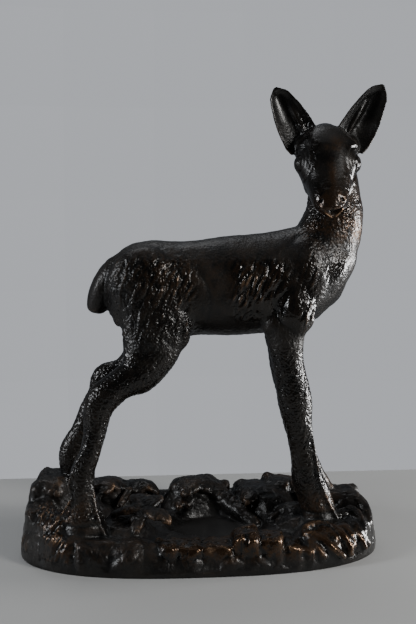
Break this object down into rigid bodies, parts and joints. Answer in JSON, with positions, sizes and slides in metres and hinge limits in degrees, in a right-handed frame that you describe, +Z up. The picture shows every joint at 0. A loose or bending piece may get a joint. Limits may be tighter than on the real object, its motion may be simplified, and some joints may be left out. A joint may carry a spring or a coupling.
{
  "type": "fawn statue",
  "caption": "Standing fawn with its head turned, on an oval of rocky, leafy ground, cast in bronze in one piece, for a table or shelf.",
  "frame": {"origin": "middle of the underside, halfway between the cast's furthest points in length and in depth", "axes": "+Z up, +X the way the fawn walks, -Y the way its turned head looks"},
  "size_m": [0.3555, 0.1768, 0.4496],
  "materials": {
    "bronze": "dark brown-black patina under clear lacquer, rubbed to copper on the high points"
  },
  "bodies": {
    "root": {"fawn_on_rocky_ground": "bronze"}
  },
  "joints": []
}
